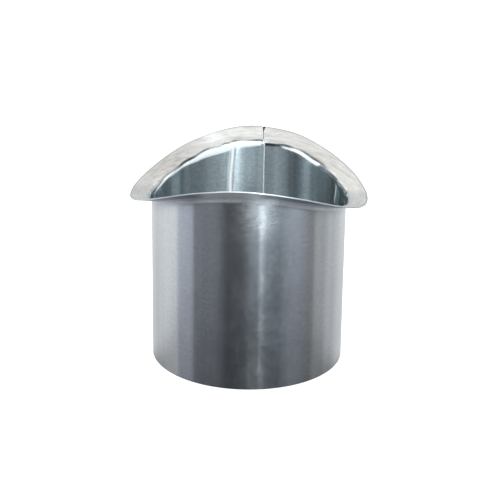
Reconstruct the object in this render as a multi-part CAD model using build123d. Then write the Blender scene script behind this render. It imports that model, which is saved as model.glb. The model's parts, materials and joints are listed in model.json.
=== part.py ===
from build123d import *

import math
import os

# A gutter drop outlet: a short round spigot of thin galvanised sheet, whose upper end is turned
# outward into a saddle flange that lies in the bottom of a half-round gutter.
# The spigot's axis is Z, the gutter runs along X, and the lapped seam is at the back, near +Y.
# The origin is the centre of the spigot's bottom edge. All sizes are millimetres.

# Driving dimensions
SPIGOT_RADIUS = 50.0  # outside of the round wall
SPIGOT_LENGTH = 80.0  # the stretch of wall that is truly round, from the bottom edge
THROAT_FLARE = 0.4  # assumed widening of the wall's crown above the spigot, in radius
GUTTER_RADIUS = 96.0  # underside of the saddle flange, which is the inside of the gutter
SIDE_HEIGHT = 86.5  # bottom edge up to the flange's underside, at its two low sides
FLANGE_WIDTH = 11.0  # wall's outside to the flange's cut edge, along the sheet
SHEET = 0.65  # sheet thickness
BEND_RADIUS = 3.0  # outside of the bend, under the flange

# The seam: the sheet's inner end lies inside its outer end, and solder fills the lap.
INNER_END_ANGLE = 85.0  # cut edge of the inner ply, seen inside the collar, in degrees from +X
LAP_WIDTH = 15.0  # inner ply's cut edge to the outer ply's cut edge, around the wall
GROOVE_WIDTH = 0.7  # outer ply's cut edge to the joggle, filled with solder
JOGGLE_WIDTH = 1.6  # stretch where the sheet steps inward by its own thickness
SOLDER_FILM = 0.1  # solder between the two plies
BEAD_WIDTH = 0.5  # solder left along the inner ply's cut edge
BEAD_HEIGHT = 0.4

# Working values
DEGREES_PER_MM = 360.0 / (2.0 * math.pi * SPIGOT_RADIUS)
OUTER_END_ANGLE = INNER_END_ANGLE + LAP_WIDTH * DEGREES_PER_MM
JOGGLE_ANGLE = OUTER_END_ANGLE + GROOVE_WIDTH * DEGREES_PER_MM
PLAIN_SHEET_ANGLE = JOGGLE_ANGLE + JOGGLE_WIDTH * DEGREES_PER_MM
BEAD_END_ANGLE = INNER_END_ANGLE - BEAD_WIDTH * DEGREES_PER_MM
INNER_PLY_INSET = SHEET + SOLDER_FILM
CROWN_HEIGHT = (
    SIDE_HEIGHT + GUTTER_RADIUS - math.sqrt(GUTTER_RADIUS**2 - SPIGOT_RADIUS**2)
)  # where the wall meets the saddle at the front and the back
THROAT_HEIGHT = CROWN_HEIGHT + FLANGE_WIDTH - SPIGOT_LENGTH  # of the cone, into the gutter
REACH = SPIGOT_RADIUS + 2.0 * FLANGE_WIDTH  # past the flange, for the cutting shapes
OUTLINE_POINTS = 48


def rim_radius(angle):
    """Distance of the flange's cut edge from the Z axis, at an angle in degrees.

    The flange has one width all round, measured along the saddle, so it looks narrower from above
    where the saddle climbs, at the front and the back.
    """
    across = math.sin(math.radians(angle))
    middle = (SPIGOT_RADIUS + FLANGE_WIDTH / 2.0) * across
    slope = middle * across / math.sqrt(GUTTER_RADIUS**2 - middle**2)
    return SPIGOT_RADIUS + FLANGE_WIDTH / math.hypot(1.0, slope)


def inside_of(inset):
    """Everything inside the collar's outer face moved inward by inset: spigot, bend and gutter."""
    radius = SPIGOT_RADIUS - inset
    gutter = GUTTER_RADIUS - inset
    spigot = Pos(0, 0, SPIGOT_LENGTH / 2.0) * Cylinder(radius, SPIGOT_LENGTH)
    throat = Pos(0, 0, SPIGOT_LENGTH + THROAT_HEIGHT / 2.0) * Cone(
        radius, radius + THROAT_FLARE, THROAT_HEIGHT
    )
    trough = Pos(0, 0, SIDE_HEIGHT + GUTTER_RADIUS) * Rot(0, 90, 0) * Cylinder(gutter, 2.0 * REACH)
    body = spigot + throat + trough
    corner = [
        edge
        for edge in body.edges()
        if edge.bounding_box().min.Z > SIDE_HEIGHT - 1.0
        and math.hypot((edge @ 0.5).X, (edge @ 0.5).Y) < radius + 2.0 * THROAT_FLARE
    ]
    return fillet(corner, BEND_RADIUS + inset)


def layer(outer_inset, inner_inset):
    """The part of the collar's form between two insets, cut to the bottom edge and the rim."""
    rim = [
        (rim_radius(a) * math.cos(math.radians(a)), rim_radius(a) * math.sin(math.radians(a)))
        for a in (360.0 * i / OUTLINE_POINTS for i in range(OUTLINE_POINTS))
    ]
    outline = make_face(Spline(*rim, periodic=True))
    column = extrude(outline, SIDE_HEIGHT + GUTTER_RADIUS)
    return (inside_of(outer_inset) - inside_of(inner_inset)) & column


def sector(first_angle, last_angle):
    """A narrow wedge about the Z axis, for cutting a stretch out of a layer."""
    corners = [(0.0, 0.0)] + [
        (2.0 * REACH * math.cos(math.radians(a)), 2.0 * REACH * math.sin(math.radians(a)))
        for a in (first_angle, last_angle)
    ]
    return extrude(make_face(Polyline(*corners, close=True)), SIDE_HEIGHT + GUTTER_RADIUS)


def collar_sheet():
    """The rolled and flanged sheet: one blank, from its inner end round to its outer end."""
    outer_ply = layer(0.0, SHEET) - sector(OUTER_END_ANGLE, JOGGLE_ANGLE)
    inner_ply = layer(INNER_PLY_INSET, INNER_PLY_INSET + SHEET) & sector(
        INNER_END_ANGLE, JOGGLE_ANGLE
    )
    joggle = layer(0.0, INNER_PLY_INSET + SHEET) & sector(JOGGLE_ANGLE, PLAIN_SHEET_ANGLE)
    return outer_ply + joggle + inner_ply


def lap_solder():
    """The film of solder between the two plies, from the bottom edge up to the rim."""
    return layer(SHEET, INNER_PLY_INSET) & sector(INNER_END_ANGLE, JOGGLE_ANGLE)


def groove_solder():
    """Solder wiped flush in the groove outside, between the outer ply's edge and the joggle."""
    return layer(0.0, SHEET) & sector(OUTER_END_ANGLE, JOGGLE_ANGLE)


def edge_solder():
    """The small run of solder along the inner ply's cut edge, inside the collar."""
    return layer(SHEET, SHEET + BEAD_HEIGHT) & sector(BEAD_END_ANGLE, INNER_END_ANGLE)


os.makedirs("parts", exist_ok=True)
pieces = {
    "collar_sheet": collar_sheet(),
    "lap_solder": lap_solder(),
    "groove_solder": groove_solder(),
    "edge_solder": edge_solder(),
}
for name, piece in pieces.items():
    export_step(piece, f"parts/{name}.step")
    size = piece.bounding_box().size
    print(f"{name}: {piece.volume:.1f} mm3, {size.X:.2f} x {size.Y:.2f} x {size.Z:.2f} mm")
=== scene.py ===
import json
import math

import bpy
import numpy as np
from mathutils import Matrix, Vector


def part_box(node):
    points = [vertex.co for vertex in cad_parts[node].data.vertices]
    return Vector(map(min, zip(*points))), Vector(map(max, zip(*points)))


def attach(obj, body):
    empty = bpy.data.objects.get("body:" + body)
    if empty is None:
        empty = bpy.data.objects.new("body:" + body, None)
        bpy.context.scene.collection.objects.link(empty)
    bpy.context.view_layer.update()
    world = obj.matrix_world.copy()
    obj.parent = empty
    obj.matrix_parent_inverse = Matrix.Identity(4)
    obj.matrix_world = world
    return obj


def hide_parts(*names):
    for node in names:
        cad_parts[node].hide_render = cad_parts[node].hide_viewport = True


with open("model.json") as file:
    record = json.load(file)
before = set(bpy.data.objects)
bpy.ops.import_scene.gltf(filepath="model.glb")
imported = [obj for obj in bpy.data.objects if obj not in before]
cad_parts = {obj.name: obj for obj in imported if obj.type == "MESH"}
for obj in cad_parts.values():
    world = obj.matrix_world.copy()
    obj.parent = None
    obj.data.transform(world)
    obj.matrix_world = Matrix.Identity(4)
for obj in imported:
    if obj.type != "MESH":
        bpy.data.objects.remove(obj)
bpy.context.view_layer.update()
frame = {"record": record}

# =============================================================================================
# The collar's sizes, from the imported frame. Lengths are metres, angles are degrees from +X.
# =============================================================================================
MM = 0.001
mounts = {m["name"]: m for m in frame["record"]["mounts"]}
sheet_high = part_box("collar_sheet")[1]

SPIGOT_RADIUS = mounts["spigot"]["dims"]["r_mm"] * MM
SPIGOT_LENGTH = mounts["spigot"]["dims"]["length_mm"] * MM
SIDE_HEIGHT = mounts["saddle_flange"]["pos_m"][2]  # the flange's underside at its low sides
FLANGE_WIDTH = sheet_high.x - SPIGOT_RADIUS
GUTTER_RADIUS = 96.0 * MM
THROAT_FLARE = 0.25 * MM  # assumed widening of the crown, less than the 0.4 mm in the CAD
THROAT_RISE = 18.0 * MM  # height over which it opens
SHEET = 0.65 * MM
BEND_RADIUS = 3.0 * MM

# The seam at the back: the sheet's inner ply overlaps its outer ply, with solder between them
FILM = 0.1 * MM
DEGREES_PER_MM = math.degrees(MM / SPIGOT_RADIUS)
INNER_END = 85.0  # cut edge of the inner ply
OUTER_END = INNER_END + 15.0 * DEGREES_PER_MM  # cut edge of the outer ply, past a lap of 15 mm
JOGGLE_START = OUTER_END + 0.4 * DEGREES_PER_MM
JOGGLE_END = OUTER_END + 3.0 * DEGREES_PER_MM
TURN = 360.0  # the inner ply is reached by going once round, so its angles are one turn less
STEP = SHEET + FILM  # how far the joggle carries the sheet inward
BEAD = 0.5 * MM  # the run of solder along the inner ply's cut edge


# =============================================================================================
# Shape helpers
# =============================================================================================
def smooth(x):
    """0 to 1 with level ends, for x from 0 to 1."""
    x = np.clip(x, 0.0, 1.0)
    return x * x * (3.0 - 2.0 * x)


def hump(x, centre, width):
    """A soft hump: 1 at the centre, nearly nothing two widths away."""
    return np.exp(-(((x - centre) / width) ** 2))


def band(x, start, rise, end, fall):
    """1 between two soft sides: it rises from start over rise, and falls from end over fall."""
    return smooth((x - start) / rise) * (1.0 - smooth((x - end) / fall))


def round_ripple(angle, seed, lowest, highest):
    """Seeded unevenness of unit height round the collar, the same again after a full turn."""
    rng = np.random.default_rng(seed)
    total = np.zeros(np.shape(angle))
    for k in range(lowest, highest + 1):
        height, phase = rng.normal(), rng.uniform(0.0, 2.0 * math.pi)
        total = total + height * np.cos(k * np.radians(angle) + phase)
    return total / math.sqrt(highest - lowest + 1)


def angle_from(angle, centre):
    """Signed difference of two angles, from -180 to 180."""
    return (np.asarray(angle) - centre + 180.0) % 360.0 - 180.0


def table_at(angle, table):
    """The value at an angle, between the rows of a table, and none beyond its ends."""
    degrees, values = zip(*table)
    return np.interp(angle, degrees, values, left=0.0, right=0.0)


# =============================================================================================
# The sheet's surface, over the angle and the way from the bottom edge to the rim
# =============================================================================================
WALL_STEPS = np.concatenate(
    [[0.0, 0.002, 0.006], np.linspace(0.02, 0.90, 18), np.linspace(0.92, 1.0, 13)]
)
BEND_STEPS = np.arange(1, 17) / 16.0
FLANGE_STEPS = np.concatenate([np.linspace(0.0, 0.96, 14)[1:], [0.985, 1.0]])
BEND_ROW = len(WALL_STEPS)
FLANGE_ROW = BEND_ROW + len(BEND_STEPS)
ROWS = FLANGE_ROW + len(FLANGE_STEPS)


def rim_radius(angle):
    """Distance of the flange's cut edge from the axis. Its width is even along the saddle."""
    across = np.sin(np.radians(angle))
    middle = (SPIGOT_RADIUS + FLANGE_WIDTH / 2.0) * across
    slope = middle * across / np.sqrt(GUTTER_RADIUS**2 - middle**2)
    trimmed = 0.10 * MM * round_ripple(angle, 3, 3, 14)
    return SPIGOT_RADIUS + FLANGE_WIDTH / np.hypot(1.0, slope) - np.abs(trimmed)


def saddle_height(rho, across):
    """Height of the saddle at a distance from the axis, across being the angle's sine."""
    return SIDE_HEIGHT + GUTTER_RADIUS - np.sqrt(GUTTER_RADIUS**2 - (rho * across) ** 2)


def saddle_slope(rho, across):
    """How steeply the saddle climbs there, going away from the axis."""
    return rho * across**2 / np.sqrt(GUTTER_RADIUS**2 - (rho * across) ** 2)


def bend_radius(angle):
    """The bend was turned by hand: soft in front, and tight at the back's two ends."""
    in_front = hump(angle_from(angle, -90.0), 0.0, 50.0)
    tight = 0.45 * hump(angle_from(angle, 22.0), 0.0, 18.0)
    tight = tight + 0.42 * hump(angle_from(angle, 149.0), 0.0, 16.0)
    uneven = 0.12 * round_ripple(angle, 5, 4, 16)
    return BEND_RADIUS * (1.0 + uneven + 0.8 * in_front - tight)


def profile(angle):
    """The outer face before any unevenness, as points (columns, rows, 3)."""
    a = np.radians(angle)[:, None]
    across = np.sin(a)
    radius = bend_radius(angle)[:, None]
    wall = np.full_like(a, SPIGOT_RADIUS)
    # The bend touches the wall and the saddle, and each touching point moves the other
    for _ in range(4):
        touch = wall + radius
        for _ in range(6):
            slope = saddle_slope(touch, across)
            touch = wall + radius - radius * slope / np.hypot(1.0, slope)
        slope = saddle_slope(touch, across)
        centre_z = saddle_height(touch, across) - radius / np.hypot(1.0, slope)
        wall = SPIGOT_RADIUS + THROAT_FLARE * (centre_z - SPIGOT_LENGTH) / THROAT_RISE

    wall_z = centre_z * WALL_STEPS[None, :]
    crown = np.clip((wall_z - SPIGOT_LENGTH) / (centre_z - SPIGOT_LENGTH), 0.0, 1.0)
    wall_rho = SPIGOT_RADIUS + (wall - SPIGOT_RADIUS) * crown**1.5

    turn = (math.pi / 2.0 - np.arctan(slope)) * BEND_STEPS[None, :]
    bend_rho = wall + radius * (1.0 - np.cos(turn))
    bend_z = centre_z + radius * np.sin(turn)

    flange_rho = touch + (rim_radius(angle)[:, None] - touch) * FLANGE_STEPS[None, :]
    flange_z = saddle_height(flange_rho, across)

    rho = np.concatenate([wall_rho, bend_rho, flange_rho], axis=1)
    z = np.concatenate([wall_z, bend_z, flange_z], axis=1)
    return np.stack([rho * np.cos(a), rho * np.sin(a), z], axis=2)


def inward(points):
    """Unit normals of such a grid, towards the inside of the collar."""
    along = np.gradient(points, axis=0)
    up = np.gradient(points, axis=1)
    normal = np.cross(up, along)
    normal /= np.linalg.norm(normal, axis=2, keepdims=True)
    outward = (normal[:, 0, :2] * points[:, 0, :2]).sum() > 0
    return -normal if outward else normal


def joggle_progress(angle, height):
    """0 before the joggle and 1 after it, for unwrapped angles. The joggle was pressed by hand: it
    leans over on its way down the wall, and spreads out on the flange."""
    rows = np.arange(ROWS)[None, :]
    on_flange = smooth((rows - BEND_ROW - 2) / (FLANGE_ROW - BEND_ROW - 2))
    lean = 1.4 * (1.0 - smooth((height - 79.0 * MM) / (16.0 * MM)))
    start = JOGGLE_START - TURN + lean
    end = JOGGLE_END - TURN + lean + 1.2 + 4.0 * on_flange
    return smooth((end - angle[:, None]) / (end - start))


def inset(angle, height):
    """How far the outer face lies inside the collar's round form. On the wall the inner ply steps
    inward over the outer one. On the flange the lap was beaten flat: the outer ply gives way."""
    rows = np.arange(ROWS)[None, :]
    flattened = 0.75 * smooth((rows - BEND_ROW - 2) / (FLANGE_ROW - BEND_ROW - 2))
    over = STEP * (1.0 - flattened) * joggle_progress(angle, height)

    near_rim = smooth((rows - FLANGE_ROW - 6.0) / (ROWS - FLANGE_ROW - 7.0))
    ramp = (0.45 + 1.3 * near_rim) * DEGREES_PER_MM
    past_end = (INNER_END + end_lean()[None, :] - angle[:, None]) / ramp
    under = -STEP * flattened * smooth(1.0 - past_end)
    is_outer_ply = angle[:, None] > -180.0
    return np.where(is_outer_ply, under, over)


# Buckles near the top of the wall: centre and width in degrees, then height and depth in mm
BUCKLES = ((25.0, 2.2, 0.35, 13.0), (11.0, 2.2, -0.6, 8.0))


def unevenness(angle, points):
    """Height of the rolled and hand-turned sheet's unevenness along its normals."""
    z = points[:, :, 2]
    rows = np.arange(ROWS)[None, :]
    on_flange = smooth((rows - BEND_ROW) / (FLANGE_ROW - BEND_ROW))
    to_rim = smooth((rows - FLANGE_ROW) / (ROWS - FLANGE_ROW - 1.0))
    at_back = 0.3 + 0.7 * smooth(0.5 + np.sin(np.radians(angle)))[:, None]

    # Upright flutes left by the rollers, which drift a little on their way up
    lean = angle[:, None] + 6.0 * (z / SIDE_HEIGHT - 0.5) * round_ripple(angle, 21, 1, 5)[:, None]
    flutes = 0.013 * MM * round_ripple(lean, 11, 9, 40)
    flutes = flutes + 0.0022 * MM * round_ripple(lean, 13, 50, 90)
    # The flange was turned over in short bites
    bites = 0.12 * MM * at_back * round_ripple(angle, 31, 6, 18)[:, None] * (0.3 + to_rim)
    height = flutes * (1.0 - smooth((rows - BEND_ROW + 6.0) / 8.0)) + bites * on_flange
    # The buckles lie in the right corner, where the bend is tight
    for centre, width, size, depth in BUCKLES:
        near_top = smooth((z - SIDE_HEIGHT + depth * MM) / (4.0 * MM)) * (1.0 - on_flange)
        round_it = hump(angle_from(angle, centre), 0.0, width)[:, None]
        height = height + size * MM * near_top * round_it
    # The inner ply's free end stands a little proud at the rim
    end = angle[:, None] - (INNER_END - TURN)
    return height + 0.15 * MM * hump(end, 0.0, 4.0) * to_rim * (end < 90.0)


def end_lean():
    """Degrees by which the inner ply's cut edge leans over, row by row up the flange."""
    return 2.3 * np.clip((np.arange(ROWS) - BEND_ROW) / (ROWS - BEND_ROW - 1.0), 0.0, 1.0)


def face_of_sheet(angle, depth):
    """Points of the face at a depth in the sheet, for unwrapped angles from OUTER_END down to
    INNER_END - TURN."""
    points = profile(angle)
    normal = inward(points)
    height = inset(angle, points[:, :, 2]) + unevenness(angle, points) + depth
    past_end = angle[:, None] - (INNER_END - TURN)
    return lean_over(points + normal * height[:, :, None], past_end)


def lean_over(points, past_end):
    """Turn the points near the inner ply's cut edge about the axis, so that the edge leans."""
    near_end = (1.0 - smooth(past_end / 10.0)) * (past_end < 90.0)
    turn = np.radians(near_end * end_lean()[None, :])
    x, y, z = np.moveaxis(points, 2, 0)
    turned_x = x * np.cos(turn) - y * np.sin(turn)
    turned_y = x * np.sin(turn) + y * np.cos(turn)
    return np.stack([turned_x, turned_y, z], 2)


# How far the flange's dull face reaches down into the bend: degrees, and millimetres along the
# sheet. It steps where the inner ply ends.
DULL_REACH = (
    (-25.0, 0.0),
    (-15.0, 1.3),
    (22.0, 1.4),
    (30.0, 1.8),
    (40.0, 1.8),
    (48.0, 1.4),
    (55.0, 1.2),
    (62.0, 1.1),
    (72.0, 1.1),
    (INNER_END - 0.01, 2.8),
    (INNER_END + 0.01, 1.9),
    (93.0, 2.0),
    (100.0, 1.5),
    (110.0, 1.3),
    (121.0, 1.6),
    (127.0, 1.8),
    (134.0, 2.1),
    (142.0, 2.1),
    (150.0, 2.1),
    (158.0, 2.6),
    (166.0, 3.4),
    (176.0, 4.4),
    (186.0, 3.0),
    (195.0, 0.0),
)
# Width of the painted highlight below it: degrees, and millimetres
PAINTED_HIGHLIGHT_WIDTH = (
    (44.0, 0.0),
    (48.0, 1.5),
    (72.0, 1.0),
    (76.0, 0.0),
    (85.5, 0.0),
    (87.0, 1.8),
    (93.0, 2.3),
    (100.0, 2.9),
    (107.0, 3.2),
    (121.0, 2.9),
    (134.0, 1.4),
    (142.0, 0.9),
    (150.0, 1.1),
    (160.0, 0.9),
    (172.0, 0.6),
    (180.0, 0.0),
)
# Places where the flange is dulled by handling: centre and width in degrees, and how much
DULLED = ((158.0, 20.0, 1.0), (132.0, 16.0, 0.8), (190.0, 12.0, 0.3), (60.0, 9.0, 0.25))
# Painted reflection streaks and painted shade up the inside of the wall: centre and width in
# degrees, and change of tone
PAINTED_STREAKS = (
    (147.0, 2.0, 0.10),
    (157.0, 7.0, -0.30),
    (141.0, 1.8, -0.25),
    (136.0, 2.4, 0.22),
    (145.0, 9.0, -0.12),
    (127.0, 4.0, -0.10),
    (94.5, 3.0, -0.16),
    (77.5, 3.0, 0.15),
    (65.0, 4.5, -0.35),
    (55.7, 3.2, 0.50),
    (44.0, 4.0, -0.15),
    (31.0, 8.0, -0.45),
    (12.0, 7.0, -0.25),
)


# =============================================================================================
# Marks on the sheet, painted highlights and painted shade among them. Angles called back are
# signed, from +X, with the back of the collar at +90.
# =============================================================================================
def bend_marks(angle, back, below, flange, painted_highlight):
    """The flange's dull face carried down into the bend, the painted shade of the dark crease that
    ends it at the back, and the painted highlight below it, joined to the highlight passed in:
    (flange, crease shade, highlight), each from 0 to 1. below is in millimetres from the flange,
    along the sheet."""
    wander = 0.22 * round_ripple(angle, 41, 5, 24)[:, None]
    reach = table_at(back, DULL_REACH)
    turned = reach + wander
    flange = np.maximum(flange, smooth(reach / 0.6) * smooth((turned - below) / 0.5 + 0.5))
    past = below - turned

    # The crease's painted shade is broken along the back, and sharp beside the lap
    at_back = band(back, 36.0, 8.0, 138.0, 9.0)
    beside_lap = smooth((angle[:, None] - 63.0) / 7.0) * (np.abs(angle[:, None]) < INNER_END)
    strength = 0.9 * at_back * smooth(0.9 + 0.45 * round_ripple(angle, 43, 4, 20))[:, None]
    crease_shade = strength * (1.0 - beside_lap) * hump(past - 0.3, 0.0, 0.6)
    crease_shade = np.maximum(crease_shade, 0.95 * beside_lap * band(past, -0.1, 0.4, 0.9, 1.1))

    width = table_at(back, PAINTED_HIGHLIGHT_WIDTH)
    past_crease = past - 0.6 + 0.5 * smooth((back - 138.0) / 9.0)
    highlight_band = band(past_crease, 0.0, 0.6, width, 1.0)
    painted_highlight = np.maximum(painted_highlight, 0.92 * highlight_band * smooth(width / 0.9))
    # Painted highlights in the right corner: a narrow upright line and a small curl
    bow = back - 25.5 - 1.5 * (below / 6.0 - 1.0) ** 2
    upright = hump(bow, 0.0, 0.9) * band(below, 3.0, 2.0, 14.0, 4.0)
    curl = hump(back + 1.6 * (below - 4.0), 9.0, 1.4) * hump(below, 4.0, 2.2)
    painted_highlight = np.maximum(painted_highlight, 0.9 * upright)
    return flange, crease_shade, np.maximum(painted_highlight, 0.5 * curl)


def painted_streak_tone(angle, back, way):
    """Change of tone by the painted reflection streaks and painted shade inside, and darker at two
    places round the back, at a way up the sheet in millimetres.
    """
    drift = back + 1.5 * (way / 90.0 - 0.5) * round_ripple(angle, 45, 2, 8)[:, None]
    streak = 0.0
    for centre, width, size in PAINTED_STREAKS:
        streak = streak + size * hump(drift, centre, width)
    darker = 0.35 * hump(back, 93.0, 9.0) + 0.15 * hump(back, 116.0, 10.0)
    return streak - hump(way, 66.0, 9.0) * darker


def shade_beside_edge(angle):
    """Painted shade in the narrow dark gap along the inner ply's cut edge, on the bend and the
    flange.
    """
    rows = np.arange(ROWS)[None, :]
    beside = (INNER_END + end_lean()[None, :] - angle[:, None]) / DEGREES_PER_MM
    gap = 0.28 + 1.1 * smooth((rows - FLANGE_ROW - 6.0) / (ROWS - FLANGE_ROW - 7.0))
    gap_shade = (1.0 - smooth((beside - gap) / 0.25)) * (beside > -2.0) * (angle > -180.0)[:, None]
    return gap_shade * smooth((rows - FLANGE_ROW + 3.0) / 3.0)


def scuffed_share(angle, way):
    """The scuffed fan under the front of the flange, and a fainter trace below it."""
    front = angle_from(angle, -79.0)[:, None]
    fan = hump(front, 0.0, 13.5) * smooth((way - 73.0) / 21.0)
    return np.maximum(fan, 0.16 * hump(front, -2.0, 8.0) * smooth((way - 20.0) / 50.0))


def shaded_share(back, below, to_rim):
    """Shade outside: towards the flange's rim at two places in front, and close below the bend."""
    right_front = band(back, -84.0, 8.0, -22.0, 8.0)
    left_front = band(back, -158.0, 8.0, -114.0, 8.0)
    near_rim = np.maximum(right_front, left_front) * (1.0 - smooth((to_rim - 4.0) / 5.0))
    in_front = smooth((-46.0 - back) / 12.0) * smooth((back + 118.0) / 10.0)
    on_wall = (1.0 - smooth((below - 2.0) / 8.0)) * (below > 0.0)
    return np.maximum(near_rim, 0.4 * (1.0 - in_front) * on_wall)


def shaded_tips(back):
    """Where the cut edge is shaded: at the two low sides."""
    right = band(back, -36.0, 8.0, 6.0, 8.0)
    return np.maximum(right, 1.0 - smooth((back + 152.0) / 8.0))


def ring_values(face_values, rim, foot):
    """Values round a column's ring: both faces alike, with the rim and the foot between them."""
    return np.concatenate([foot, face_values, rim, rim, face_values[:, ::-1], foot], axis=1)


def sheet_values(angle, outer):
    """What the material reads at each point: its place on the sheet and its way to the rim, in
    metres, the streaks' change of tone, and shares from 0 to 1 of what the point is on. Each is a
    grid (columns, ring) like the mesh's own."""
    step = np.linalg.norm(np.diff(outer, axis=1), axis=2)
    path = np.concatenate([np.zeros((len(angle), 1)), np.cumsum(step, axis=1)], axis=1)
    way = path / MM
    below = (path[:, FLANGE_ROW, None] - path) / MM
    back = angle_from(angle, 0.0)[:, None]
    rows = np.arange(ROWS)
    edge = np.zeros_like(path[:, :1])

    flange = np.broadcast_to(smooth((rows - BEND_ROW - 10.0) / 6.0), path.shape)
    middle_of_bend = 0.5 * (BEND_ROW + FLANGE_ROW - 2.0)
    bend = np.broadcast_to(hump(rows - middle_of_bend, 0.0, 5.5), path.shape)
    progress = joggle_progress(angle, outer[:, :, 2])
    # A painted highlight along the joggle, joined to the one on the bend
    joggle_highlight = (4.0 * progress * (1.0 - progress)) ** 1.6 * (1.0 - flange)
    joggle_highlight = joggle_highlight * (angle < -180.0)[:, None]
    flange, crease_shade, painted_highlight = bend_marks(angle, back, below, flange, joggle_highlight)
    crease_shade = np.maximum(crease_shade, shade_beside_edge(angle))
    streak = painted_streak_tone(angle, back, way)
    scuffed = scuffed_share(angle, way)
    shaded = shaded_share(back, below, (path[:, -1:] - path) / MM)
    dulled = np.zeros_like(path)
    for centre, width, size in DULLED:
        dulled = dulled + size * hump(angle_from(angle, centre), 0.0, width)[:, None]
    along = np.broadcast_to(-np.radians(angle)[:, None] * SPIGOT_RADIUS, path.shape)

    outer_side = np.zeros((len(angle), ROWS + 2))
    inner_side = np.ones((len(angle), ROWS + 2))
    return {
        "shaded": ring_values(shaded, 0.9 * shaded_tips(back), edge),
        "dulled": ring_values(dulled, dulled[:, -1:], edge),
        "streak": ring_values(streak, edge, streak[:, :1]),
        "scuffed": ring_values(scuffed, edge, scuffed[:, :1]),
        "sheet_along": ring_values(along, along[:, -1:], along[:, :1]),
        "sheet_up": ring_values(path, path[:, -1:], path[:, :1]),
        "flange": ring_values(flange, edge + 1.0, edge),
        "painted_highlight": ring_values(painted_highlight, edge, edge),
        "bend": ring_values(bend, edge, edge),
        "crease_shade": ring_values(crease_shade, edge, edge),
        "inside": np.concatenate([outer_side, inner_side], axis=1),
        "to_rim": ring_values(path[:, -1:] - path, edge, path[:, -1:]),
    }


# =============================================================================================
# Meshes
# =============================================================================================
def finish_mesh(name, vertices, faces, material, replaced, sharp=40.0):
    """One object of the visual model: smooth shaded, sharp at its cut edges."""
    mesh = bpy.data.meshes.new(name)
    mesh.from_pydata(np.asarray(vertices).reshape(-1, 3).tolist(), [], faces)
    mesh.update()
    mesh.validate()
    mesh.polygons.foreach_set("use_smooth", [True] * len(mesh.polygons))
    mesh.set_sharp_from_angle(angle=math.radians(sharp))
    mesh.materials.append(material)
    obj = bpy.data.objects.new(name, mesh)
    bpy.context.scene.collection.objects.link(obj)
    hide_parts(replaced)
    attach(obj, "root")
    return obj


def loft(rings):
    """Quads of a closed tube through rings (columns, points, 3), with its two ends closed by
    strips of quads. The points of a ring pair up from its start and its end."""
    columns, count = rings.shape[:2]
    faces = []
    for c in range(columns - 1):
        a, b = c * count, (c + 1) * count
        for k in range(count):
            n = (k + 1) % count
            faces.append((a + k, a + n, b + n, b + k))
    half = count // 2
    for c, flip in ((0, False), (columns - 1, True)):
        a = c * count
        for k in range(half - 1):
            quad = (a + k, a + k + 1, a + count - 2 - k, a + count - 1 - k)
            faces.append(quad if flip else quad[::-1])
    return faces


def sheet_columns():
    """Angles of the sheet's columns, from the outer ply's cut edge round to the inner ply's. They
    lie close together at the cut edge, at the buckles and over the joggle."""
    coarse = 0.66
    over_edge, before_edge = INNER_END + 3.2, INNER_END - 2.4
    buckles_begin, buckles_end = 28.5, 6.0
    joggle_near = JOGGLE_END + 7.0 - TURN
    joggle_begins = JOGGLE_END + 3.0 - TURN
    joggle_ends = JOGGLE_START - 0.8 - TURN
    stretches = [
        (OUTER_END, over_edge, coarse),
        (over_edge, before_edge, 0.1),
        (before_edge, buckles_begin, coarse),
        (buckles_begin, buckles_end, 0.3),
        (buckles_end, joggle_near, coarse),
        (joggle_near, joggle_begins, 0.4),
        (joggle_begins, joggle_ends, 0.16),
        (joggle_ends, INNER_END - TURN, coarse),
    ]
    angles = []
    for first, last, step in stretches:
        count = max(2, round(abs(last - first) / step))
        angles.append(np.linspace(first, last, count + 1)[:-1])
    return np.concatenate(angles + [[INNER_END - TURN]])


EDGE_EASE = 0.16  # share of the thickness over which a cut edge is rounded


def eased_edge(low, high, size):
    """Two rows of points that carry a cut edge past the last row of each face, slightly rounded.
    low and high are the faces' last two rows: (columns, 2, 3), the edge row last."""
    on_low, on_high = low[:, 1], high[:, 1]
    out = on_low - low[:, 0]
    out /= np.linalg.norm(out, axis=1, keepdims=True)
    across = on_high - on_low
    first = on_low + across * EDGE_EASE + out * size
    second = on_high - across * EDGE_EASE + out * size
    return first[:, None], second[:, None]


def build_sheet(material):
    """The collar's sheet metal, one closed skin from the outer ply's end to the inner ply's. Its
    bottom edge and its rim are slightly rounded."""
    angle = sheet_columns()
    outer = face_of_sheet(angle, 0.0)
    inner = face_of_sheet(angle, SHEET)
    rim_a, rim_b = eased_edge(outer[:, -2:], inner[:, -2:], 0.07 * MM)
    foot_a, foot_b = outer[:, :1].copy(), inner[:, :1].copy()
    across = (inner[:, :1] - outer[:, :1])[:, :, :2] * EDGE_EASE
    foot_a[:, :, :2] += across
    foot_b[:, :, :2] -= across
    outer[:, 0, 2] += 0.06 * MM
    inner[:, 0, 2] += 0.06 * MM
    rings = np.concatenate([foot_a, outer, rim_a, rim_b, inner[:, ::-1], foot_b], axis=1)
    obj = finish_mesh(
        "collar_sheet_metal", rings, loft(rings), material, "collar_sheet"
    )

    values = sheet_values(angle, outer)
    for key, grid in values.items():
        layer = obj.data.attributes.new(key, "FLOAT", "POINT")
        layer.data.foreach_set("value", grid.ravel().astype(np.float32))


def uneven_rows(seed):
    """Seeded soft unevenness from row to row, about zero, for a run of solder."""
    drawn = np.random.default_rng(seed).normal(size=ROWS + 8)
    return np.convolve(drawn, np.ones(5) / 5.0, mode="same")[4:-4]


def build_lap_solder(material):
    """The film between the plies."""
    angle = np.linspace(OUTER_END - 0.2, INNER_END + 0.25, 30)
    past_end = angle[:, None] - INNER_END - 0.25
    under = lean_over(face_of_sheet(angle, SHEET), past_end)
    over = face_of_sheet(angle - TURN, 0.0)
    rings = np.concatenate([under, over[:, ::-1]], axis=1)
    finish_mesh("lap_solder_film", rings, loft(rings), material, "lap_solder")


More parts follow.
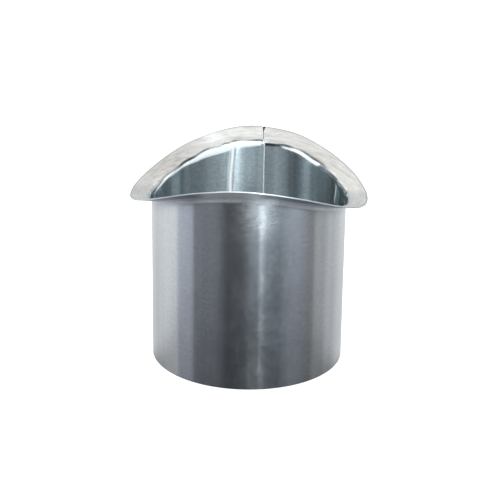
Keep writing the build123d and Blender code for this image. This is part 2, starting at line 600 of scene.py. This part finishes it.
def build_groove_solder(material):
    """Solder wiped into the groove outside, between the outer ply's cut edge and the joggle."""
    share = np.linspace(0.0, 1.0, 12)[:, None, None]
    first = np.array([OUTER_END, OUTER_END - 0.7])
    last = np.array([JOGGLE_END + 2.5, JOGGLE_END + 1.8]) - TURN
    on_ply = face_of_sheet(first, 0.0)[1:]
    joggle_highlight = face_of_sheet(last, 0.0)[:1]
    chord = on_ply + (joggle_highlight - on_ply) * share
    outward = -inward(profile(np.linspace(OUTER_END - 0.7, JOGGLE_END + 2.5, 12)))
    bulge = 0.09 * MM * np.sin(math.pi * share[:, :, 0]) * (1.0 + 0.4 * uneven_rows(8)[None, :])
    face = chord + outward * (bulge + 0.015 * MM)[:, :, None]
    bottom = chord - outward * (0.03 * MM + 0.45 * MM * np.sin(math.pi * share))
    rings = np.concatenate([face, bottom[:, ::-1]], axis=1)
    finish_mesh(
        "groove_solder_run", rings, loft(rings), material, "groove_solder", sharp=60.0
    )


def build_edge_solder(material):
    """The bead along the inner ply's cut edge: a small fillet, uneven in width, which thins out on
    the flange."""
    rows = np.arange(ROWS)
    thin = 1.0 - 0.75 * smooth((rows - BEND_ROW - 4.0) / 10.0)
    width = BEAD * DEGREES_PER_MM / MM * thin * (1.0 + 0.25 * uneven_rows(12))
    steps = np.linspace(0.0, 1.0, 7)
    angle = INNER_END + end_lean()[None, :] - steps[:, None] * width[None, :]
    columns = np.linspace(INNER_END + 2.5, INNER_END - 2.0, 90)
    under = face_of_sheet(columns, SHEET)
    level = np.empty((len(steps), ROWS, 3))
    for row in range(ROWS):
        for axis in range(3):
            level[:, row, axis] = np.interp(-angle[:, row], -columns, under[:, row, axis])
    normal = inward(profile(np.linspace(INNER_END, INNER_END - 1.0, len(steps))))
    rise = STEP * np.cos(0.5 * math.pi * steps)[:, None] ** 1.2 * (0.35 + 0.6 * thin)[None, :]
    top = level + normal * (rise + 0.02 * MM)[:, :, None]
    low = level - normal * 0.03 * MM
    rings = np.concatenate([top, low[:, ::-1]], axis=1)
    finish_mesh(
        "edge_solder_bead", rings, loft(rings), material, "edge_solder", sharp=60.0
    )


# =============================================================================================
# Shader helpers
# =============================================================================================
def math_node(tree, operation, *inputs):
    """A Math node. Each input is a number or another node's output."""
    node = tree.nodes.new("ShaderNodeMath")
    node.operation = operation
    for socket, value in zip(node.inputs, inputs):
        if isinstance(value, (int, float)):
            socket.default_value = value
        else:
            tree.links.new(value, socket)
    return node.outputs[0]


def soft_step(tree, value, low, high, to_low=0.0, to_high=1.0):
    """Goes smoothly from to_low, where the value is below low, to to_high above high."""
    node = tree.nodes.new("ShaderNodeMapRange")
    node.interpolation_type = "SMOOTHSTEP"
    node.inputs["From Min"].default_value = low
    node.inputs["From Max"].default_value = high
    node.inputs["To Min"].default_value = to_low
    node.inputs["To Max"].default_value = to_high
    tree.links.new(value, node.inputs["Value"])
    return node.outputs["Result"]


def colour_mix(tree, share, first, second, blend="MIX"):
    """A Mix node for colours: share 0 gives the first one, and share 1 the second."""
    node = tree.nodes.new("ShaderNodeMix")
    node.data_type = "RGBA"
    node.blend_type = blend
    pairs = ((node.inputs[0], share), (node.inputs[6], first), (node.inputs[7], second))
    for socket, value in pairs:
        if isinstance(value, tuple):
            socket.default_value = (*value, 1.0)
        elif isinstance(value, (int, float)):
            socket.default_value = value
        else:
            tree.links.new(value, socket)
    return node.outputs[2]


def attribute(tree, name):
    """One of the values that sheet_values gives the mesh."""
    node = tree.nodes.new("ShaderNodeAttribute")
    node.attribute_name = name
    return node.outputs["Fac"]


def vector(tree, x, y, z=0.0):
    """Three numbers or outputs joined in one, as a place or as a grey tone."""
    node = tree.nodes.new("ShaderNodeCombineXYZ")
    for socket, value in zip(node.inputs, (x, y, z)):
        if isinstance(value, (int, float)):
            socket.default_value = value
        else:
            tree.links.new(value, socket)
    return node.outputs[0]


def noise(tree, place, detail=2.0, rough=0.5, distortion=0.0):
    """A noise about 0.5, whose features are one unit of place across."""
    node = tree.nodes.new("ShaderNodeTexNoise")
    node.inputs["Scale"].default_value = 1.0
    node.inputs["Detail"].default_value = detail
    node.inputs["Roughness"].default_value = rough
    node.inputs["Distortion"].default_value = distortion
    tree.links.new(place, node.inputs["Vector"])
    return node.outputs["Fac"]


def sheet_place(tree, along, up, size_along, size_up, shift=0.0):
    """Coordinates over the sheet whose unit is size_along by size_up, in metres."""
    return vector(
        tree,
        math_node(tree, "DIVIDE", along, size_along),
        math_node(tree, "DIVIDE", up, size_up),
        shift,
    )


def new_metal(name, roughness, anisotropic):
    """A plain metal to build on: the material, its node tree and its shader."""
    material = bpy.data.materials.new(name)
    material.use_nodes = True
    tree = material.node_tree
    shader = tree.nodes["Principled BSDF"]
    shader.inputs["Metallic"].default_value = 1.0
    shader.inputs["Roughness"].default_value = roughness
    shader.inputs["Anisotropic"].default_value = anisotropic
    return material, tree, shader


# =============================================================================================
# Materials
# =============================================================================================
def wall_colour(tree, along, up, in_wall, cloud, speck, grain, hair):
    """Clouded zinc, with upright streaks that are stronger inside. Inside, the cooler tint and the
    stronger streaks are painted reflection.
    """
    tint = colour_mix(tree, cloud, (0.61, 0.64, 0.665), (0.71, 0.735, 0.755))
    # Inside the wall a cooler, teal tint: painted reflection colour
    teal_reflection_tint = colour_mix(tree, 1.0, tint, (0.91, 0.99, 1.0), "MULTIPLY")
    tint = colour_mix(tree, in_wall, tint, teal_reflection_tint)

    draw = noise(tree, sheet_place(tree, along, up, 0.0065, 0.2, 5.0), 3.0, 0.5)
    streak = soft_step(tree, draw, 0.35, 0.65, -1.0, 1.0)
    strength = math_node(tree, "MULTIPLY_ADD", in_wall, 0.09, 0.03)
    streak = math_node(tree, "MULTIPLY_ADD", streak, strength, 1.0)
    # Placed streaks inside the wall: painted reflections and painted shade
    placed = math_node(tree, "MULTIPLY", attribute(tree, "streak"), in_wall)
    streak = math_node(tree, "ADD", streak, placed)

    line = soft_step(tree, grain, 0.3, 0.7, 0.985, 1.015)
    scratch = soft_step(tree, hair, 0.3, 0.7, 0.985, 1.015)
    mottle = soft_step(tree, speck, 0.3, 0.7, -1.0, 1.0)
    contrast = math_node(tree, "MULTIPLY_ADD", in_wall, 0.07, 0.04)
    mottle = math_node(tree, "MULTIPLY_ADD", mottle, contrast, 1.0)
    tone = math_node(tree, "MULTIPLY", math_node(tree, "MULTIPLY", streak, line), scratch)
    tone = math_node(tree, "MULTIPLY", tone, mottle)
    return colour_mix(tree, 1.0, tint, vector(tree, tone, tone, tone), "MULTIPLY")


def flange_colour(tree, along, up, to_rim, patch):
    """Whiter than the wall, with smears along the rim, and dulled where it was handled."""
    patches = soft_step(tree, patch, 0.3, 0.7)
    worn = colour_mix(tree, patches, (0.67, 0.66, 0.645), (0.83, 0.83, 0.82))
    smudge = noise(tree, sheet_place(tree, along, up, 0.014, 0.005, 9.0), 4.0, 0.6, 0.8)
    smudge = soft_step(tree, smudge, 0.46, 0.70, 0.0, 0.6)
    worn = colour_mix(tree, smudge, worn, (0.52, 0.505, 0.48))
    grime = soft_step(tree, patch, 0.3, 0.7, 0.2, 0.8)
    grime = math_node(tree, "MULTIPLY", attribute(tree, "dulled"), grime)
    worn = colour_mix(tree, grime, worn, (0.44, 0.43, 0.42))
    by_bend = soft_step(tree, to_rim, 0.0055, 0.0095)
    by_bend = math_node(tree, "MULTIPLY", by_bend, soft_step(tree, patch, 0.42, 0.6))
    by_bend = math_node(tree, "MULTIPLY", by_bend, 0.5)
    worn = colour_mix(tree, by_bend, worn, (0.45, 0.455, 0.42))
    rub = noise(tree, sheet_place(tree, along, up, 0.020, 0.0011, 7.0), 3.0, 0.6)
    rub_tone = soft_step(tree, rub, 0.3, 0.7, 0.88, 1.05)
    return colour_mix(tree, 1.0, worn, vector(tree, rub_tone, rub_tone, rub_tone), "MULTIPLY")


def galvanised():
    """Bright galvanised sheet. The rolling grain runs round the collar, so the mirror image is
    drawn out up the wall. The flange is duller and whiter, where it was turned and handled."""
    material, tree, shader = new_metal("galvanised_sheet", 0.25, 1.0)
    along, up = attribute(tree, "sheet_along"), attribute(tree, "sheet_up")
    flange, inside = attribute(tree, "flange"), attribute(tree, "inside")
    to_rim, bend = attribute(tree, "to_rim"), attribute(tree, "bend")
    painted_highlight = math_node(tree, "MULTIPLY", attribute(tree, "painted_highlight"), inside)
    crease_shade = math_node(tree, "MULTIPLY", attribute(tree, "crease_shade"), inside)
    outside = math_node(tree, "SUBTRACT", 1.0, inside)
    scuffed = math_node(tree, "MULTIPLY", attribute(tree, "scuffed"), outside)
    in_wall = math_node(tree, "MULTIPLY", inside, math_node(tree, "SUBTRACT", 1.0, flange))

    # Patterns on the sheet, by their size along it and up it
    grain = noise(tree, sheet_place(tree, along, up, 0.25, 0.0009, 1.0), 2.0, 0.6)
    hair = noise(tree, sheet_place(tree, along, up, 0.04, 0.00025, 2.0), 2.0, 0.6)
    cloud = noise(tree, sheet_place(tree, along, up, 0.011, 0.014, 3.0), 4.0, 0.6, 0.4)
    speck = noise(tree, sheet_place(tree, along, up, 0.0022, 0.0016, 4.0), 3.0, 0.65)
    patch = noise(tree, sheet_place(tree, along, up, 0.0045, 0.0022, 6.0), 5.0, 0.65, 0.3)
    scratches = noise(tree, sheet_place(tree, along, up, 0.0055, 0.00045, 10.0), 3.0, 0.65)
    blotch = noise(tree, sheet_place(tree, along, up, 0.0055, 0.007, 11.0), 3.0, 0.55)

    # Colour: the wall's, the flange's on its upper face and a little below, then the rim's
    wall = wall_colour(tree, along, up, in_wall, cloud, speck, grain, hair)
    worn = flange_colour(tree, along, up, to_rim, patch)
    on_top = math_node(tree, "MULTIPLY", flange, inside)
    on_either_face = math_node(tree, "MULTIPLY", flange, 0.3)
    share = math_node(tree, "MULTIPLY_ADD", on_top, 0.7, on_either_face)
    colour = colour_mix(tree, share, wall, worn)
    edge = math_node(tree, "MULTIPLY", soft_step(tree, to_rim, 0.0004, 0.0013, 0.75, 0.0), inside)
    colour = colour_mix(tree, edge, colour, (0.40, 0.40, 0.40))
    cut = soft_step(tree, to_rim, 0.0, 0.0001, 1.0, 0.0)
    colour = colour_mix(tree, cut, colour, (0.89, 0.93, 0.96))
    shaded = math_node(tree, "MULTIPLY", attribute(tree, "shaded"), outside)
    in_shade = colour_mix(tree, 1.0, colour, (0.38, 0.41, 0.48), "MULTIPLY")
    colour = colour_mix(tree, shaded, colour, in_shade)
    # Painted highlight on the bend, the joggle and the right corner: white and hardly metallic, so
    # it looks bright from every side
    colour = colour_mix(tree, painted_highlight, colour, (0.98, 1.0, 1.0))
    metallic = math_node(tree, "MULTIPLY_ADD", painted_highlight, -0.97, 1.0)
    tree.links.new(metallic, shader.inputs["Metallic"])
    # Painted shade: near black in the crease and in the gap beside the inner ply's cut edge
    darkened = math_node(tree, "MULTIPLY", crease_shade, 0.95)
    colour = colour_mix(tree, darkened, colour, (0.03, 0.03, 0.032))
    tree.links.new(colour, shader.inputs["Base Color"])

    # Roughness: the wall is clouded and scuffed, and the flange patchy
    dull = soft_step(tree, cloud, 0.35, 0.7, 0.15, 0.175)
    dull = math_node(tree, "ADD", dull, soft_step(tree, speck, 0.45, 0.75, 0.0, 0.02))
    dull = math_node(tree, "MULTIPLY_ADD", in_wall, 0.14, dull)
    scuffs = soft_step(tree, scratches, 0.3, 0.7, 0.12, 0.21)
    scuffs = math_node(tree, "MULTIPLY", scuffs, soft_step(tree, blotch, 0.3, 0.7, 0.75, 1.05))
    dull = math_node(tree, "MULTIPLY_ADD", scuffed, scuffs, dull)
    top = soft_step(tree, patch, 0.3, 0.7, 0.30, 0.37)
    rough = tree.nodes.new("ShaderNodeMix")
    tree.links.new(flange, rough.inputs[0])
    tree.links.new(dull, rough.inputs[2])
    tree.links.new(top, rough.inputs[3])
    pressed = math_node(tree, "MULTIPLY_ADD", painted_highlight, 0.04, rough.outputs[0])
    turned = math_node(tree, "MULTIPLY", math_node(tree, "MULTIPLY", bend, inside), -0.17)
    tree.links.new(math_node(tree, "ADD", pressed, turned), shader.inputs["Roughness"])

    tangent = tree.nodes.new("ShaderNodeTangent")
    tangent.direction_type = "RADIAL"
    tangent.axis = "Z"
    tree.links.new(tangent.outputs["Tangent"], shader.inputs["Tangent"])
    shader.inputs["Anisotropic Rotation"].default_value = 0.25

    # Relief: grain round the collar, fine specks, and soft dents
    relief = math_node(tree, "MULTIPLY", grain, 0.05)
    relief = math_node(tree, "MULTIPLY_ADD", hair, 0.07, relief)
    relief = math_node(tree, "MULTIPLY_ADD", speck, 0.36, relief)
    relief = math_node(tree, "MULTIPLY_ADD", cloud, 1.6, relief)
    scuffed_relief = math_node(tree, "MULTIPLY", scuffed, blotch)
    relief = math_node(tree, "MULTIPLY_ADD", scuffed_relief, 0.4, relief)
    worn_relief = math_node(tree, "MULTIPLY", flange, patch)
    relief = math_node(tree, "MULTIPLY_ADD", worn_relief, 2.5, relief)
    bump = tree.nodes.new("ShaderNodeBump")
    bump.inputs["Strength"].default_value = 1.0
    bump.inputs["Distance"].default_value = 0.012 * MM
    tree.links.new(relief, bump.inputs["Height"])
    tree.links.new(bump.outputs["Normal"], shader.inputs["Normal"])
    return material


def solder(name, metallic, dark, pale):
    """Wiped soft solder: duller than the sheet, with small ripples. Where it is pale and hardly
    metallic
    it looks white from every side: a painted highlight.
    """
    material, tree, shader = new_metal(name, 0.45, 0.0)
    shader.inputs["Metallic"].default_value = metallic
    place = tree.nodes.new("ShaderNodeTexCoord").outputs["Object"]
    scaled = tree.nodes.new("ShaderNodeVectorMath")
    scaled.operation = "SCALE"
    scaled.inputs["Scale"].default_value = 420.0
    tree.links.new(place, scaled.inputs[0])
    lumps = noise(tree, scaled.outputs[0], 4.0, 0.6)
    colour = colour_mix(tree, soft_step(tree, lumps, 0.3, 0.7), dark, pale)
    tree.links.new(colour, shader.inputs["Base Color"])
    tree.links.new(soft_step(tree, lumps, 0.3, 0.7, 0.4, 0.55), shader.inputs["Roughness"])
    bump = tree.nodes.new("ShaderNodeBump")
    bump.inputs["Distance"].default_value = 0.08 * MM
    tree.links.new(lumps, bump.inputs["Height"])
    tree.links.new(bump.outputs["Normal"], shader.inputs["Normal"])
    return material


# =============================================================================================
# Studio: floor, surround, lights and camera
# =============================================================================================
def disc(name, radius, height, sides=96):
    """A flat round surface about the Z axis, for the studio. It isn't part of the object."""
    mesh = bpy.data.meshes.new(name)
    turns = [2.0 * math.pi * i / sides for i in range(sides)]
    ring = [(radius * math.cos(turn), radius * math.sin(turn), height) for turn in turns]
    mesh.from_pydata(ring, [], [tuple(range(sides))])
    obj = bpy.data.objects.new(name, mesh)
    bpy.context.scene.collection.objects.link(obj)
    return obj


def floor():
    """The pale floor. The metal doesn't mirror it: it mirrors the table below instead."""
    obj = disc("floor", 40.0, 0.0)
    material = bpy.data.materials.new("floor")
    material.use_nodes = True
    shader = material.node_tree.nodes["Principled BSDF"]
    shader.inputs["Base Color"].default_value = (0.9, 0.9, 0.9, 1)
    shader.inputs["Roughness"].default_value = 1.0
    shader.inputs["Specular IOR Level"].default_value = 0.0
    obj.data.materials.append(material)
    obj.visible_glossy = False
    obj.visible_shadow = False


def window(tree, value, low, high, soft):
    """1 between low and high, 0 outside, with soft sides."""
    rise = soft_step(tree, value, low - soft, low + soft)
    fall = soft_step(tree, value, high - soft, high + soft, 1.0, 0.0)
    return math_node(tree, "MULTIPLY", rise, fall)


def azimuth_of(tree, x, y):
    """Degrees round the object: 0 in front, towards the camera, and positive towards +X."""
    front = math_node(tree, "MULTIPLY", y, -1.0)
    return math_node(tree, "DEGREES", math_node(tree, "ARCTAN2", x, front))


def mirrored_table():
    """What the wall mirrors low down: a table top that the object shades near itself, with the
    gleam of a window on it, in front. Only mirror rays see it."""
    obj = disc("mirrored_table", 0.9, -0.0004)
    material = bpy.data.materials.new("mirrored_table")
    material.use_nodes = True
    tree = material.node_tree
    tree.nodes.clear()
    place = tree.nodes.new("ShaderNodeTexCoord").outputs["Object"]
    length = tree.nodes.new("ShaderNodeVectorMath")
    length.operation = "LENGTH"
    tree.links.new(place, length.inputs[0])
    reach = length.outputs["Value"]
    split = tree.nodes.new("ShaderNodeSeparateXYZ")
    tree.links.new(place, split.inputs[0])
    azimuth = azimuth_of(tree, split.outputs[0], split.outputs[1])

    shade = tree.nodes.new("ShaderNodeMapRange")
    shade.inputs["From Min"].default_value = SPIGOT_RADIUS
    shade.inputs["From Max"].default_value = 0.28
    aside = math_node(tree, "ABSOLUTE", azimuth)
    tree.links.new(soft_step(tree, aside, 60.0, 95.0, 0.44, 0.80), shade.inputs["To Min"])
    shade.inputs["To Max"].default_value = 1.0
    tree.links.new(reach, shade.inputs["Value"])
    under = soft_step(tree, reach, 0.048, 0.052, 0.62, 1.0)
    tint = math_node(tree, "MULTIPLY", shade.outputs["Result"], under)
    clear = tree.nodes.new("ShaderNodeBsdfTransparent")
    tree.links.new(vector(tree, tint, tint, tint), clear.inputs["Color"])

    far = soft_step(tree, reach, 0.27, 0.58)
    gleams = [(17.5, 21.5, 2.5, 0.2), (4.0, 30.0, 9.0, 0.32), (18.0, 68.0, 9.0, 0.7)]
    level = 0.0
    for low, high, soft, strength in gleams:
        band = math_node(tree, "MULTIPLY", window(tree, azimuth, low, high, soft), far)
        level = math_node(tree, "MULTIPLY_ADD", band, strength, level)
    glow = tree.nodes.new("ShaderNodeEmission")
    glow.inputs["Color"].default_value = (0.82, 1.0, 1.10, 1.0)
    tree.links.new(level, glow.inputs["Strength"])
    both = tree.nodes.new("ShaderNodeAddShader")
    tree.links.new(clear.outputs[0], both.inputs[0])
    tree.links.new(glow.outputs[0], both.inputs[1])
    output = tree.nodes.new("ShaderNodeOutputMaterial")
    tree.links.new(both.outputs[0], output.inputs["Surface"])
    obj.data.materials.append(material)
    obj.visible_camera = False
    obj.visible_diffuse = False
    obj.visible_shadow = False


def surround():
    """The studio as the metal sees it; the camera itself sees plain white."""
    world = bpy.data.worlds.new("studio")
    bpy.context.scene.world = world
    world.use_nodes = True
    tree = world.node_tree
    tree.nodes.clear()
    place = tree.nodes.new("ShaderNodeTexCoord")
    split = tree.nodes.new("ShaderNodeSeparateXYZ")
    tree.links.new(place.outputs["Generated"], split.inputs[0])
    x, y, z = split.outputs
    azimuth = azimuth_of(tree, x, y)
    elevation = math_node(tree, "DEGREES", math_node(tree, "ARCSINE", z))

    # Round the horizon: white boards at the sides and behind, and a dark room in front
    ramp = tree.nodes.new("ShaderNodeValToRGB")
    share = tree.nodes.new("ShaderNodeMapRange")
    share.inputs["From Min"].default_value = -180.0
    share.inputs["From Max"].default_value = 180.0
    tree.links.new(azimuth, share.inputs["Value"])
    tree.links.new(share.outputs["Result"], ramp.inputs["Fac"])
    neutral, cool, blue = (0.98, 1.0, 1.02), (0.94, 0.98, 1.10), (0.90, 0.98, 1.13)
    stops = [
        (-180, 0.88, neutral),
        (-135, 0.81, neutral),
        (-110, 0.90, neutral),
        (-89, 0.93, neutral),
        (-86, 0.62, cool),
        (-65, 0.58, cool),
        (-62.5, 0.275, cool),
        (-42, 0.25, cool),
        (-33, 0.225, cool),
        (-20, 0.095, cool),
        (-8, 0.08, cool),
        (2, 0.10, cool),
        (11, 0.14, blue),
        (32, 0.15, blue),
        (40, 0.17, blue),
        (48, 0.29, blue),
        (62, 0.41, cool),
        (72, 0.38, cool),
        (79, 0.33, neutral),
        (86, 0.30, neutral),
        (90, 0.47, neutral),
        (105, 0.48, neutral),
        (113, 0.63, neutral),
        (116, 0.64, neutral),
        (121, 0.58, neutral),
        (143, 0.80, neutral),
        (180, 0.88, neutral),
    ]
    elements = ramp.color_ramp.elements
    while len(elements) < len(stops):
        elements.new(0.5)
    for element, (degrees, level, tint) in zip(elements, stops):
        element.position = (degrees + 180.0) / 360.0
        element.color = (*(level * t for t in tint), 1.0)

    # Above the horizon the boards are dimmer, but not behind
    not_behind = window(tree, azimuth, -135.0, 135.0, 15.0)
    above = math_node(tree, "MULTIPLY", not_behind, soft_step(tree, elevation, -2.0, 6.0))
    above = math_node(tree, "MULTIPLY", above, 0.6)
    low = colour_mix(tree, above, ramp.outputs["Color"], (0.0, 0.0, 0.0))

    # The pale ground close in front, which only the bend and the flange's underside mirror
    steep = soft_step(tree, elevation, -52.0, -42.0, 1.0, 0.0)
    low = colour_mix(tree, steep, low, (0.72, 0.74, 0.78))

    # Overhead light, leaning to the back
    lean = math.radians(17.0)
    towards = math_node(
        tree,
        "ADD",
        math_node(tree, "MULTIPLY", y, math.sin(lean)),
        math_node(tree, "MULTIPLY", z, math.cos(lean)),
    )
    overhead = soft_step(tree, towards, 0.66, 0.76)
    colour = colour_mix(tree, overhead, low, (1.29, 1.29, 1.27))

    # Long windows high up, in front and to the left, and the bright pane that meets the table
    lights = [
        ((-15.0, 62.0, 5.0), (18.0, 58.0, 5.0), (2.0, 2.15, 2.2)),
        ((-52.0, -15.0, 5.0), (26.0, 58.0, 5.0), (1.5, 1.6, 1.65)),
        ((-100.0, -52.0, 6.0), (32.0, 44.0, 4.0), (0.9, 0.96, 1.0)),
        ((62.0, 150.0, 6.0), (18.0, 32.0, 4.0), (1.0, 1.05, 1.1)),
        ((4.0, 33.0, 8.0), (-64.0, -52.0, 4.0), (3.2, 3.4, 3.5)),
        ((19.0, 26.0, 3.0), (18.0, 48.0, 4.0), (8.0, 8.6, 9.0)),
        ((-2.0, 40.0, 12.0), (-5.0, 14.0, 3.0), (0.70, 0.80, 0.86)),
        ((16.5, 22.0, 2.5), (2.0, 18.0, 3.0), (6.0, 6.5, 6.7)),
    ]
    for across, high, level in lights:
        lit = math_node(
            tree, "MULTIPLY", window(tree, azimuth, *across), window(tree, elevation, *high)
        )
        colour = colour_mix(tree, lit, colour, level)

    path = tree.nodes.new("ShaderNodeLightPath")
    colour = colour_mix(tree, path.outputs["Is Camera Ray"], colour, (1.0, 1.0, 1.0))
    background = tree.nodes.new("ShaderNodeBackground")
    output = tree.nodes.new("ShaderNodeOutputWorld")
    tree.links.new(colour, background.inputs["Color"])
    tree.links.new(background.outputs[0], output.inputs["Surface"])


def floor_light():
    """A broad light overhead for the floor. The metal mirrors the surround instead."""
    data = bpy.data.lights.new("floor_light", "AREA")
    data.shape = "DISK"
    data.size = 2.4
    data.energy = 42.0
    light = bpy.data.objects.new("floor_light", data)
    light.location = (-0.2, -0.1, 1.6)
    light.visible_glossy = False
    bpy.context.scene.collection.objects.link(light)


def camera():
    """The camera, fitted so that the outline lies in view as it does in the photo."""
    data = bpy.data.cameras.new("camera")
    data.sensor_width = 36.0
    data.lens = 103.2
    azimuth, elevation, roll = (math.radians(v) for v in (4.03, 21.04, 0.79))
    distance = 0.75
    middle = Vector((0.0, 0.0, 0.55 * SIDE_HEIGHT))
    back = Vector(
        (
            math.sin(azimuth) * math.cos(elevation),
            -math.cos(azimuth) * math.cos(elevation),
            math.sin(elevation),
        )
    )
    right = Vector((0, 0, 1)).cross(back).normalized()
    up = back.cross(right)
    right, up = (
        right * math.cos(roll) + up * math.sin(roll),
        up * math.cos(roll) - right * math.sin(roll),
    )
    place = middle + back * distance
    aim = middle + up * 8.17 * MM + right * 1.05 * MM  # the object stands a little low in view
    look = (place - aim).normalized()
    right = up.cross(look).normalized()
    up = look.cross(right)
    obj = bpy.data.objects.new("camera", data)
    obj.matrix_world = Matrix.Translation(place) @ Matrix((right, up, look)).transposed().to_4x4()
    bpy.context.scene.collection.objects.link(obj)
    bpy.context.scene.camera = obj


# =============================================================================================
# Build
# =============================================================================================
build_sheet(galvanised())
wiped_solder = solder("wiped_solder", 0.9, (0.40, 0.41, 0.42), (0.56, 0.57, 0.58))
# The bead's solder, pale and hardly metallic: a painted highlight along the inner ply's cut edge
glint_painted_solder = solder("glint_painted_solder", 0.25, (0.76, 0.80, 0.82), (0.90, 0.95, 0.97))
build_lap_solder(wiped_solder)
build_groove_solder(wiped_solder)
build_edge_solder(glint_painted_solder)
floor()
mirrored_table()
surround()
floor_light()
camera()
bpy.context.scene.view_settings.view_transform = "Standard"

bpy.context.view_layer.update()
